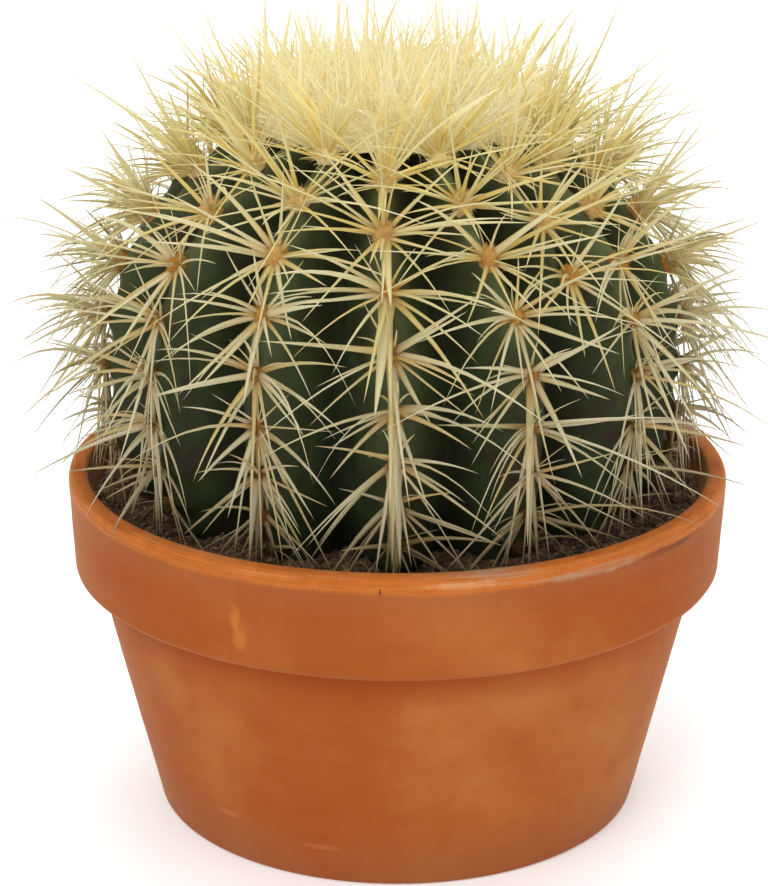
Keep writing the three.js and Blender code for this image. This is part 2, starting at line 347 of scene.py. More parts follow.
def makeLights():
    for name, (where, softness, strength) in studio["lamps"].items():
        lamp = bpy.data.lights.new(name, "SUN")
        lamp.angle = math.radians(softness)
        lamp.energy = strength
        holder = addObject(name, lamp)
        holder.location = where
        holder.rotation_euler = (-Vector(where)).to_track_quat("-Z", "Y").to_euler()
    world = bpy.data.worlds.new("room")
    bpy.context.scene.world = world
    world.use_nodes = True
    sky = world.node_tree.nodes["Background"].inputs
    sky["Color"].default_value = (1, 1, 1, 1)
    sky["Strength"].default_value = studio["sky"]


def makeFloor():
    reach = studio["floorSize"]
    mesh = bpy.data.meshes.new("floor")
    corners = [(-reach, -reach, 0), (reach, -reach, 0), (reach, reach, 0), (-reach, reach, 0)]
    mesh.from_pydata(corners, [], [(0, 1, 2, 3)])
    finish = newMaterial("paleFloor", Base_Color=studio["floorColour"], Roughness=0.9,
                         Emission_Color=(1, 1, 1), Emission_Strength=studio["floorGlow"])[0]
    mesh.materials.append(finish)
    floor = addObject("floor", mesh)


makeCamera()
makeLights()
makeFloor()
print("camera, light and floor ready")

pot = {
    "height": potTop[2] / mm, "rim": potTop[0] / mm, "lip": 5.4, "lipRound": 3.5, "collar": 28.8,
    "collarFoot": 88.9, "shoulder": 82.3, "base": 67.2, "edge": 1.5, "wall": 6.5, "floor": 9, "drain": 10,
    # across and up
    "fillet": (2.4, 2), "cuff": (3.2, 3), "corner": 3,
    "columns": 320, "wobble": 0.14, "throwing": 0.05, "squareness": 0.68,
}


def potInner(z):
    # radius of the inside wall at a height: two straight stretches, and upright inside the lip
    heights = [0, pot["height"] - pot["collar"], pot["height"] - pot["lipRound"]]
    radii = [pot["base"] - pot["wall"], pot["shoulder"] - pot["wall"], pot["rim"] - pot["lip"]]
    return np.interp(z, heights, radii)


def arc(r, z, across, up, start, end, steps):
    # part of an ellipse between two directions in degrees
    a = np.radians(np.linspace(start, end, steps))
    return np.stack([r + across * np.cos(a), z + up * np.sin(a)], axis=-1)


def run(a, b, steps):
    # evenly spaced points between two others
    t = np.linspace(0, 1, steps + 2)[1:-1, None]
    return np.array(a) * (1 - t) + np.array(b) * t


def potProfile():
    # counter-clockwise round the wall's section, from the drain hole outwards
    shoulderZ = pot["height"] - pot["collar"]
    edge, half, drain, floorZ = pot["edge"], pot["lip"] / 2, pot["drain"], pot["floor"]
    fillet, cuff, inside = pot["fillet"], pot["cuff"], pot["corner"]
    foot = arc(pot["base"] - edge, edge, edge, edge, -90, -8, 6)
    fillet = arc(pot["shoulder"] + fillet[0], shoulderZ - 1.9, *fillet, 172, 104, 6)
    cuff = arc(pot["collarFoot"] - cuff[0], shoulderZ + cuff[0], *cuff, -80, 0, 10)
    # the lip is squarer than an ellipse: each circle coordinate is raised to a power under one
    lip = arc(0, 0, 1, 1, 0, 180, 18)
    lip = np.sign(lip) * np.abs(lip) ** pot["squareness"] * (half, pot["lipRound"])
    lip = lip + (pot["rim"] - half, pot["height"] - pot["lipRound"])
    inShoulder = (float(potInner(shoulderZ)), shoulderZ)
    inFloor = (float(potInner(floorZ + inside)), floorZ + inside)
    corner = arc(inFloor[0] - inside, inFloor[1], inside, inside, 0, -90, 5)
    rows = [
        [(drain, 0)], run((drain, 0), foot[0], 10), foot,
        run(foot[-1], fillet[0], 34), fillet, cuff, run(cuff[-1], lip[0], 22), lip,
        run(lip[-1], inShoulder, 10), [inShoulder], run(inShoulder, inFloor, 12), corner,
        run(corner[-1], (drain + 1, floorZ), 8), [(drain, floorZ - 1)],
        run((drain, floorZ - 1), (drain, 0), 2),
    ]
    return np.concatenate(rows)


def makePot(material):
    # a closed section turned about the axis, pushed in and out by faint throwing waves and wobble
    profile = potProfile()
    rows, columns = len(profile), pot["columns"]
    angle = np.linspace(0, turn, columns, endpoint=False)
    points = onCircle(profile[:, :1], angle, profile[:, 1:]).reshape(-1, 3)
    outer = smooth(points[:, 2], 1, 4)
    waves = cloud(points * (0.2, 0.2, 1), 5, 12, 2) * pot["throwing"]
    push = cloud(points, 70, 11) * pot["wobble"] + waves
    points[:, :2] *= (1 + push * outer / np.hypot(points[:, 0], points[:, 1]))[:, None]
    # the section's last point joins its first one
    quads = gridQuads(rows + 1, columns) % (rows * columns)
    makePiece("terracottaPot", (points, [quads]), material, ["pot"])


clay = {
    "deep": (0.335, 0.066, 0.006), "body": (0.365, 0.087, 0.012), "light": (0.44, 0.143, 0.03),
    "dusty": (0.345, 0.112, 0.042), "scuff": (0.58, 0.24, 0.085), "grey": (0.42, 0.25, 0.15),
    "lip": (0.56, 0.155, 0.022), "rubbed": (0.68, 0.34, 0.15), "shade": (0.3, 0.058, 0.008),
    "ochre": (0.6, 0.22, 0.035), "soot": (0.08, 0.03, 0.02),
    # heights between which each band fades in and out again, and the others fade in
    "underLip": (83, 90.5, 91.4, 92.4), "cuffEdge": (67, 67.8, 68.6, 69.8),
    "cuffShade": (56.5, 64.5, 67.5, 70), "lipPaleAndLit": (91.2, 92.2), "lipWear": (91.2, 93),
    "speckled": (90, 94), "dustyFoot": (20, 0),
    # smears and scuffs: centre, size, strength, colour name
    "marks": [
        ((-40.7, -79.4, 81.2), (1.6, 6, 4.6), 0.5, "ochre"),
        ((-39.4, -79.2, 76.4), (2.2, 6, 4.4), 0.42, "ochre"),
        ((-83.2, -30, 89.3), (1.2, 2, 1.8), 0.8, "soot"),
        ((42, -75, 53), (3.5, 5, 3), 0.5, "scuff"),
        ((50, -64, 39.5), (1.6, 5, 6), 0.55, "scuff"),
        ((55.5, -60, 36.5), (2, 5, 5), 0.4, "scuff"),
        ((-44, -53, 15), (4, 6, 1.1), 0.3, "scuff"),
        ((-20, -65, 11), (7, 6, 1.2), 0.25, "scuff"),
        ((5, -79, 56), (6, 5, 6), 0.14, "scuff"),
        ((24, -85, 95.5), (16, 8, 1.6), 0.9, "grey"),
        ((16, -88, 93.5), (12, 8, 1.3), 0.7, "rubbed"),
        ((48, -74, 92.5), (20, 16, 1.6), 1, "grey"),
        ((68, -56, 91.5), (14, 16, 1.2), 0.8, "soot"),
        ((-4.5, -89.3, 92.5), (0.4, 2, 1.2), 0.9, "soot"),
    ],
}


def terracottaMaterial():
    material, shader = newMaterial("firedClay", Specular_IOR_Level=0.1, Sheen_Weight=0.16,
                                   Sheen_Roughness=0.35, Sheen_Tint=(1, 0.8, 0.5))
    spot, z = objectPoint(material)
    broad = grainOf(spot, 16, 900, 0.16)
    fine = grainOf(spot, 160, 2600, 0.2)
    rings = noise(spot, 1, 3, 0.5, stretch=(5, 5, 300))
    scratches = noise(spot, 1, 5, 0.7, stretch=(45, 45, 1900))
    edgeWander = times(calc("SUBTRACT", fine["Height"], 0.5), 0.004)
    wavy = calc("ADD", z, calc("ADD", edgeWander, spread(broad["Mask"], 0, 1, -0.0007, 0.0007)))
    onLip = fadeIn(z, clay["lipWear"])
    colour = ramp(broad["Mask"], {0: clay["deep"], 0.5: clay["body"], 1: clay["light"]})
    # dusty band under the lip, a paler and worn lip with a painted highlight, a lighter line at the collar's
    # foot with painted shade under it, dusty base
    colour = layered(colour, [
        (spread(rings, 0.4, 0.75, 0, 0.14), clay["light"]),
        (spread(fine["Mask"], 0, 1, 0, 0.16), clay["dusty"]),
        (times(band(wavy, clay["underLip"]), 0.4), clay["dusty"]),
        # the top of the lip made brighter: partly paler clay, partly a painted highlight
        (times(fadeIn(wavy, clay["lipPaleAndLit"]), spread(fine["Mask"], 0, 1, 0.4, 0.95)), clay["lip"]),
        (times(onLip, spread(scratches, 0.5, 0.75, 0, 0.45)), clay["rubbed"]),
        (times(onLip, spread(scratches, 0.45, 0.33, 0, 0.6)), clay["deep"]),
        # a faint lighter line along the foot of the collar
        (times(band(z, clay["cuffEdge"]), 0.12), clay["scuff"]),
        # painted shade under the collar
        (times(band(z, clay["cuffShade"]), 0.7), clay["shade"]),
        (times(fadeIn(z, clay["dustyFoot"]), spread(broad["Mask"], 0, 1, 0.4, 0.9)), clay["dusty"]),
    ])
    for centre, size, strength, tone in clay["marks"]:
        where = {"Vector": spot, "Centre": metres(centre), "Size": metres(size), "Ragged": 0.35}
        smear = useGroup(mark, where)["Mask"]
        # the long ones are broken up by the scratches
        if tone == "grey" or size[0] > 10:
            smear = times(smear, spread(scratches, 0.42, 0.58, 0.25, 1))
        colour = blend(times(smear, strength), colour, clay[tone])
    # lime specks, crowded on the lip
    speckLimit = fadeIn(z, clay["speckled"], 0.76, 0.66)
    specks = spread(calc("SUBTRACT", noise(spot, 1500, 2, 0.5), speckLimit), 0, 0.03, 0, 0.55)
    feed(shader, Base_Color=blend(specks, colour, clay["scuff"]),
         Roughness=spread(broad["Height"], 0.3, 0.7, 0.62, 0.82))
    roughen(shader, calc("ADD", times(rings, 0.9), times(broad["Height"], 0.35)), 0.22, 0.0004)
    return material


makePot(terracottaMaterial())
print("pot ready")

plant = {
    "shift": -1, "equator": 134, "radius": 78, "rise": 61, "fall": 134 - bodyFoot[2] / mm, "lowerPower": 2.6,
    "sink": 6, "sinkRadius": 30, "ribs": 14, "depth": 17, "young": 1.5, "crowding": 8, "fade": 0.4,
    "firstAreole": 38.3, "pitch": 17.8, "tighten": 0.48,
}
axisShift = np.array([plant["shift"], 0, 0])


def crestTable():
    # an ellipse above the equator and a fuller superellipse below, with the way along it from the apex
    t = np.linspace(math.pi / 2, -math.pi / 2, 4000)
    across, along = np.maximum(np.cos(t), 0), np.sin(t)
    power = 2 / plant["lowerPower"]
    r = np.where(along >= 0, across, across ** power) * plant["radius"]
    fall = -np.abs(along) ** power * plant["fall"]
    z = plant["equator"] + np.where(along >= 0, along * plant["rise"], fall)
    s = np.concatenate([[0], np.cumsum(np.hypot(np.diff(r), np.diff(z)))])
    return r, z, s


crestR, crestZ, crestS = crestTable()
slopeR, slopeZ = np.gradient(crestR, crestS), np.gradient(crestZ, crestS)


def crestAt(s):
    # radius, height and the outward normal's two parts at a way s from the apex
    r, z, dr, dz = (np.interp(s, crestS, column) for column in (crestR, crestZ, slopeR, slopeZ))
    size = np.hypot(dr, dz)
    return r, z, -dz / size, dr / size


def sunkBy(r):
    # how far the growing point lies under the crest line's top
    return plant["sink"] * np.maximum(1 - r / plant["sinkRadius"], 0) ** 2


def fromYoung(place):
    # rib places counted from the young rib, the shorter way round
    offset = place - plant["young"]
    return offset - plant["ribs"] * np.round(offset / plant["ribs"])


def ribAngle(place, z):
    # even spacing low down, pushed away from the young rib higher up
    away = fromYoung(place)
    push = plant["crowding"] * smooth(z, 138, 190) * plant["fade"] ** np.maximum(np.abs(away) - 0.5, 0)
    return np.radians(360 / plant["ribs"] * place + np.sign(away) * push)


def wayOf(j):
    # how far down its rib the areole number j sits: the steps shrink evenly
    return plant["firstAreole"] + plant["pitch"] * j - plant["tighten"] * j * j


def placeOf(s):
    # the areole count along a rib at a way s from the apex
    under = np.maximum(plant["pitch"] ** 2 - 4 * plant["tighten"] * (s - plant["firstAreole"]), 1)
    return (plant["pitch"] - np.sqrt(under)) / (2 * plant["tighten"])


def ribSection(u):
    # how far in from crest to valley, rounded at both ends
    soft, groove = 0.22, 0.12
    fall = (np.hypot(u, soft) - soft) / (np.hypot(1, soft) - soft)
    return 1 - (np.hypot(1 - fall, groove) - groove) / (np.hypot(1, groove) - groove)


flesh = {
    "rows": 150, "stepsPerRib": 36, "notch": 1.7, "pinch": 0.28, "wrinkle": 0.2,
    "skin": {0: (0.031, 0.021, 0.012), 0.45: (0.027, 0.034, 0.012), 1: (0.036, 0.06, 0.022)},
    "crest": {0: (0.1, 0.125, 0.045), 1: (0.19, 0.22, 0.1)},
    "streak": (0.052, 0.062, 0.017), "valley": (0.012, 0.012, 0.006),
}


def ribColumns():
    # for every column: its rib, the fraction to the next rib, and whether the young rib lies between them
    ribs = np.arange(plant["ribs"])
    wide = np.abs(fromYoung(ribs + 0.5)) < 0.1
    counts = np.where(wide, flesh["stepsPerRib"] * 2, flesh["stepsPerRib"])
    starts = np.cumsum(counts) - counts
    place, start, count, holdsYoung = (np.repeat(v, counts) for v in (ribs, starts, counts, wide))
    return place, (np.arange(len(place)) - start) / count, holdsYoung


def fleshSurface(s, grow=0):
    # the crest line pushed in by the rib section, with a notch on the crest between areoles
    place, fraction, holdsYoung = ribColumns()
    r, z, nr, nz = (v[:, None] for v in crestAt(s))
    start, end = ribAngle(place, z), ribAngle(place + 1, z)
    angle = start + (end - start) * fraction
    plain = 1 - np.abs(1 - 2 * fraction)
    split = 1 - np.abs(1 - (4 * fraction) % 2)
    # the valley that holds the young rib is split in two higher up
    young = smooth(z, 150, 172) * holdsYoung
    section = ribSection(plain) * (1 - young) + ribSection(split) * young
    nearest = plain * (1 - young) + np.minimum(plain, split) * young
    ribShift = np.where(place % 2 == 0, 0.5, 0)
    ribShift = np.where(fraction > 0.5, 0.5 - ribShift, ribShift)
    ribShift = np.where(holdsYoung & (np.abs(fraction - 0.5) < 0.25), 0.5, ribShift)
    swell = 0.5 + 0.5 * np.cos(turn * (placeOf(s)[:, None] - ribShift))
    onCrest = np.exp(-(nearest / flesh["pinch"]) ** 2)
    inward = plant["depth"] * r / plant["radius"] * section - grow
    inward = inward + flesh["notch"] * (1 - swell) * onCrest * smooth(r, 15, 45)
    points = fromFront(r - inward * nr, angle, z - inward * nz - sunkBy(r))
    return points, onCrest, swell, section, z


def makeBody(material):
    # the ribbed surface with fine wrinkles, closed by a pole at the top and one at the foot
    s = np.linspace(crestS[-1] * 0.004, crestS[-1] * 0.996, flesh["rows"])
    surface, onCrest, swell, section, z = fleshSurface(s)
    points = surface.reshape(-1, 3)
    wrinkles = cloud(points, 9, 21) * flesh["wrinkle"] + cloud(points * (1, 1, 0.35), 2.4, 22, 2) * 0.05
    points[:, :2] *= (1 + wrinkles / np.maximum(np.hypot(points[:, 0], points[:, 1]), 5))[:, None]
    ends = plant["equator"] + np.array([plant["rise"] - plant["sink"] - 0.3, -plant["fall"]])
    points, faces = sealed(surface, skyward * ends[:, None])
    tints = tinted(onCrest.shape, onCrest, section, smooth(z, 90, 190), swell)
    shape = (points + axisShift, faces, np.concatenate([tints, np.ones((2, 4))]))
    makePiece("cactusFlesh", shape, material, ["cactus_body"])


def fleshMaterial():
    material, shader = newMaterial("greenFlesh", Specular_IOR_Level=0.15)
    spot = objectPoint(material)[0]
    crest, valley, rise, swell = tintOf(material)
    skin = grainOf(spot, 90, 1500, 0.18)
    streaks = noise(spot, 1, 4, 0.6, stretch=(240, 240, 60))
    colour = layered(ramp(skin["Mask"], flesh["skin"]), [
        (spread(streaks, 0.45, 0.8, 0, 0.4), flesh["streak"]),
        # paler crests, more so higher up: partly paler skin, partly a painted sheen
        (times(crest, spread(rise, 0.15, 0.95, 0.05, 0.8)), ramp(skin["Mask"], flesh["crest"])),
        # painted shade deep in the valleys
        (spread(valley, 0.5, 1, 0, 0.65), flesh["valley"]),
    ])
    feed(shader, Base_Color=colour, Roughness=spread(valley, 0.5, 0.9, 0.5, 1))
    roughen(shader, skin["Height"], 0.25, 0.0005)
    return material


makeBody(fleshMaterial())
print("body ready")

soil = {
    "level": 88, "heap": 1.6, "crumble": 0.9, "fineCrumble": 0.55, "rise": 0.8, "rows": 22, "floorZ": 9.3,
    "gap": 0.3, "crumbs": 2700, "bits": 160, "fibres": 240,
    "earth": {0: (0.034, 0.015, 0.006), 0.6: (0.13, 0.07, 0.032), 1: (0.31, 0.195, 0.1)},
    "crumb": {0: (0.044, 0.02, 0.008), 0.55: (0.16, 0.088, 0.041), 0.85: (0.33, 0.21, 0.11),
              1: (0.47, 0.35, 0.21)},
    "damp": (0.03, 0.018, 0.01),
}


def soilLevel(x, y):
    # level near the wall, a little higher by the plant and at the right, with soft lumps
    r = np.hypot(x, y)
    flat = np.stack([x, y, np.zeros_like(x)], axis=-1).reshape(-1, 3)
    lumps = cloud(flat, 14, 31).reshape(x.shape) * soil["crumble"]
    return soil["level"] + soil["heap"] * smooth(r, 84, 68) + soil["rise"] * smooth(x, -10, 60) + lumps


def makeSoil(material):
    # from the pole under the plant up the ribbed socket, across the top, down the wall and back to a pole
    s = np.linspace(crestS[-1] * 0.995, np.interp(-soil["level"] - 1.5, -crestZ, crestS), 14)
    socket = fleshSurface(s, soil["gap"])[0] + axisShift
    angle = np.arctan2(socket[-1, :, 1], socket[-1, :, 0])
    outer = onCircle(float(potInner(soil["level"])) - soil["gap"], angle, 0)[:, :2]
    t = np.linspace(0, 1, soil["rows"])[:, None, None]
    top = socket[-1, :, :2] * (1 - t) + outer * t
    level = soilLevel(top[..., 0], top[..., 1])
    fine = cloud(np.dstack([top, level]).reshape(-1, 3), 4, 32).reshape(level.shape)
    level = level + fine * soil["fineCrumble"]
    socket[:, :, 2] = np.minimum(socket[:, :, 2], level[0])
    down = np.linspace(soil["level"] - 2, soil["floorZ"] + 3.2, 6)
    sideR = potInner(down) - soil["gap"]
    side = onCircle(sideR[:, None], angle, down[:, None])
    footR = np.array([sideR[-1] - 3.4, sideR[-1] * 0.5, 1])
    foot = onCircle(footR[:, None], angle, soil["floorZ"])
    surface = np.concatenate([socket, np.dstack([top, level])[1:], side, foot])
    poles = [[plant["shift"], 0, socket[0, :, 2].min() - 0.05], [0, 0, soil["floorZ"]]]
    makePiece("pottingSoil", sealed(surface, poles), material, ["soil"])


def soilMaterial():
    material, shader = newMaterial("darkSoil", Roughness=0.95)
    crumb = grainOf(objectPoint(material)[0], 420, 1300, 0.13)
    feed(shader, Base_Color=ramp(crumb["Mask"], soil["earth"]))
    roughen(shader, crumb["Height"], 0.8, 0.001)
    return material


def crumbMaterial():
    material, shader = newMaterial("soilCrumb", Roughness=0.95)
    tone = tintOf(material)[0]
    crumb = grainOf(objectPoint(material)[0], 700, 2000, 0.2)
    damp = spread(crumb["Mask"], 0, 1, 0, 0.5)
    feed(shader, Base_Color=blend(damp, ramp(tone, soil["crumb"]), soil["damp"]))
    roughen(shader, crumb["Height"], 0.5, 0.0005)
    return material


def ballShape():
    # an icosahedron: the corners of three crossed golden rectangles, and twenty faces
    golden = (1 + 5 ** 0.5) / 2
    flat = [(a, b * golden, 0) for b in (1, -1) for a in (-1, 1)]
    corners = np.concatenate([np.roll(flat, k, axis=1) for k in range(3)])
    faces = [(0, 11, 5), (0, 5, 1), (0, 1, 7), (0, 7, 10), (0, 10, 11), (1, 5, 9), (5, 11, 4), (11, 10, 2),
             (10, 7, 6), (7, 1, 8), (3, 9, 4), (3, 4, 2), (3, 2, 6), (3, 6, 8), (3, 8, 9), (4, 9, 5),
             (2, 4, 11), (6, 2, 10), (8, 6, 7), (9, 8, 1)]
    return unit(corners), np.array(faces)


def bodyRadius(angle, z):
    # how far the ribbed body reaches from its axis in a direction at a height below the equator
    r = np.interp(-z, -crestZ, crestR)
    fraction = (angle / turn * plant["ribs"]) % 1
    return r - plant["depth"] * r / plant["radius"] * ribSection(1 - np.abs(1 - 2 * fraction))


def groundSpots(count, rng, margin):
    # random places on the bare soil between the ribs and the wall
    angle = rng.uniform(0, turn, count)
    inner = bodyRadius(angle, soil["level"]) + margin
    outer = float(potInner(soil["level"])) - margin
    r = inner + (outer - inner) * rng.random(count) ** 0.8
    x, y = r * np.sin(angle) + plant["shift"] * 0.5, -r * np.cos(angle)
    return np.stack([x, y, soilLevel(x, y)], axis=-1)


def makeCrumbs(material):
    # little lumps: a ball pushed out by a random amount at each corner, squashed and turned
    rng = np.random.default_rng(41)
    corners, faces = ballShape()
    each, crumbs = len(corners), soil["crumbs"]
    count = crumbs + soil["bits"]
    where = groundSpots(count, rng, 1.8)
    size = np.clip(rng.lognormal(-0.55, 0.5, count), 0.25, 1.7)
    size[crumbs:] *= 0.7
    lump = corners * rng.uniform(0.5, 1.2, (count, each, 1))
    lump = lump * rng.uniform(0.55, 1.1, (count, 1, 3)) * size[:, None, None]
    points = (where + skyward * (size * 0.25)[:, None])[:, None] + lump
    tone = rng.beta(1.6, 3.2, count)
    # the last ones are pale bits
    tone[crumbs:] = rng.uniform(0.85, 1, soil["bits"])
    tints = tinted((count, each), tone[:, None])
    makePiece("soilCrumbs", (points.reshape(-1, 3), repeated([faces], count, each), tints), material)


makeSoil(soilMaterial())
crumbFinish = crumbMaterial()
makeCrumbs(crumbFinish)
print("soil ready")

needle = {"sides": 5, "rings": (0, 0.08, 0.2, 0.34, 0.5, 0.66, 0.8, 0.92), "thick": 0.48}
hair = {"sides": 3, "rings": (0, 0.55), "thick": 0.9}


def needleMesh(shape, base, way, flat, bend, length, width, tone, age):
    # ring centres at base + L*(way*t + bend*t*t), half widths shrinking as (1-t)^0.75 from a thicker foot
    t = np.array(shape["rings"])
    sides, rings, count = shape["sides"], len(t), len(base)
    flat = unit(flat - way * (flat * way).sum(axis=1, keepdims=True))
    up = np.cross(way, flat)
    up *= np.where((up * base).sum(axis=1, keepdims=True) < 0, -1, 1)
    flat = np.cross(up, way)
    path = way[:, None] * t[:, None] + bend[:, None] * (t ** 2)[:, None]
    centre = base[:, None] + path * length[:, None, None]
    half = width[:, None] / 2 * ((1 - t) ** 0.75 + 0.25 * np.exp(-t * 16))
    around = turn * (np.arange(sides) + 0.25) / sides
    across, rise = np.cos(around)[:, None], np.sin(around)[:, None]
    ring = across * flat[:, None, None] + rise * up[:, None, None] * shape["thick"]
    body = centre[:, :, None] + ring * half[:, :, None, None]
    tip = base + (way + bend) * length[:, None]
    ends = [tip[:, None], base[:, None] - way[:, None] * 0.2]
    points = np.concatenate([body.reshape(count, -1, 3), *ends], axis=1)
    along = np.concatenate([np.repeat(t, sides), [1, 0]])
    top = np.concatenate([np.tile(0.5 + 0.5 * np.sin(around), rings), [0.5, 0.5]])
    each = rings * sides + 2
    first = np.arange(sides)
    caps = [fan(first + (rings - 1) * sides, each - 2), fan(first, each - 1, True)]
    faces = repeated([gridQuads(rings, sides), np.concatenate(caps)], count, each)
    tints = tinted((count, each), along, tone[:, None], age[:, None], top)
    return points.reshape(-1, 3), faces, tints


room = {
    # needles keep this far from the wall, and over the lip or beside it they pass this much higher
    "wall": 1.2, "overLip": 0.7, "besideLip": 6,
    # how far they may reach to the sides, to front and back, and up
    "sides": 118, "front": 119, "up": 230,
    "steps": 10, "push": 0.09, "shortest": 0.42,
}


def clearNeedles(overLip, base, way, flat, bend, length, *rest):
    # needles that would cut the wall are turned inwards step by step, or upwards where they may lie over
    # the lip, and what still cuts wall or soil is shortened or left out
    t = np.linspace(0.12, 1, 12)[:, None]
    high = pot["height"] + room["besideLip"]
    fence = np.where(overLip, pot["height"] + room["overLip"], high)[:, None]
    for step in range(room["steps"]):
        at = base[:, None] + (way[:, None] * t + bend[:, None] * t ** 2) * length[:, None, None]
        x, y, z = at[..., 0], at[..., 1], at[..., 2]
        r = np.hypot(x, y)
        inWall = (r > potInner(z) - room["wall"]) & (z < fence)
        inWall |= (r > pot["rim"] - 1) & (z < high)
        turned = inWall.any(axis=1)[:, None]
        inwards = -unit(base * (1, 1, 0)) * 0.7 - skyward * 0.7
        way = unit(way + np.where(overLip[:, None], skyward, inwards) * room["push"] * turned)
    inSoil = (r < potInner(z)) & (z < soilLevel(x, y) + 0.3)
    outside = (np.abs(x) > room["sides"]) | (np.abs(y) > room["front"]) | (z > room["up"])
    hits = inWall | inSoil | outside
    reach = np.where(hits.any(axis=1), t[np.argmax(hits, axis=1), 0] - 0.06, 1)
    parts = (base, way, flat, bend * reach[:, None], length * reach, *rest)
    return needleMesh(needle, *(part[reach > room["shortest"]] for part in parts))


fanOut = {
    # clock angle from uphill, lift off the skin, length, width: side spines come in pairs
    "pairs": [(22, 36, 13, 0.9), (47, 32, 18, 1), (70, 28, 24, 1.3), (87, 24, 27, 1.5), (103, 24, 26, 1.4),
              (124, 20, 25, 1.3), (148, 16, 26, 1.4), (74, 44, 32, 1.7), (96, 36, 41, 1.15),
              (108, 42, 28, 1.1)],
    # in pairs too, but only on young areoles
    "upright": [(20, 54, 23, 1.8), (55, 60, 22, 2), (100, 56, 22, 1.7), (150, 60, 21, 2),
                (78, 34, 21, 1.3), (132, 38, 20, 1.3)],
    "middle": [(180, 13, 37, 3.1), (192, 30, 27, 1.7), (0, 50, 18, 1.2), (178, 46, 31, 2.2),
               (176, 16, 35, 2.7)],
    "clockJitter": 10, "liftJitter": 9, "lengthJitter": 0.17, "keep": 0.82, "overLip": 0.12,
    "footAcross": 1.25, "footAlong": 1.9, "youngStray": 1.9, "youngLift": 20,
    "droop": 0.36, "longDroop": 0.18, "sideArch": 1.3, "sideShortens": 0.26,
}


def areoleFrame(place, s):
    # areole centre with its outward, downhill and sideways directions
    r, z, nr, nz = crestAt(s)
    angle = ribAngle(place, z)
    outward, side = fromFront(1, angle, 0), onCircle(1, angle, 0)
    normal = outward * nr[:, None] + skyward * nz[:, None]
    down = outward * nz[:, None] - skyward * nr[:, None]
    centre = outward * r[:, None] + skyward * (z - sunkBy(r))[:, None] + axisShift
    return centre, normal, down, side


def aim(clock, lift, normal, down, side):
    # the tangent at a clock angle from uphill, and the same lifted off the skin
    tangent = -down * np.cos(clock)[:, None] + side * np.sin(clock)[:, None]
    return tangent, unit(tangent * np.cos(lift)[:, None] + normal * np.sin(lift)[:, None])


def youth(ways):
    # one near the growing point, nothing at the foot of the ribs
    return np.clip(1 - (ways - 20) / 130, 0, 1)


def backwards(place):
    # how far a rib looks away from the front: -1 to 1
    return -math.cos(float(ribAngle(place, plant["equator"])))


def chooseSpines(place, ways, rng):
    # every areole of one rib times every entry of the fan, thinned out at random
    paired = fanOut["pairs"] + fanOut["upright"]
    mirrored = [(clock * hand, *rest) for clock, *rest in paired for hand in (-1, 1)]
    entries = np.array(mirrored + fanOut["middle"], dtype=float)
    ways, kinds = (v.ravel() for v in np.meshgrid(ways, np.arange(len(entries)), indexing="ij"))
    onlyYoung = (kinds >= 2 * len(fanOut["pairs"])) & (kinds < len(mirrored))
    age = youth(ways)
    sparse = 0.3 * smooth(age, 0.34, 0.1) * (np.abs(entries[kinds, 0]) < 160)
    share = fanOut["keep"] + 0.15 * smooth(age, 0.55, 0.8) - sparse + (kinds == len(mirrored))
    share = np.where(kinds == len(entries) - 1, 1 if place == 0 else 0.35, share)
    # ribs that look sideways or back carry upright needles further down
    aside = smooth(backwards(place), -0.6, -0.1)
    upright = smooth(age, 0.62 - 0.5 * aside, 0.88 - 0.4 * aside)
    chosen = rng.random(len(kinds)) < np.where(onlyYoung, upright, share)
    return ways[chosen], entries[kinds[chosen]].T, onlyYoung[chosen]


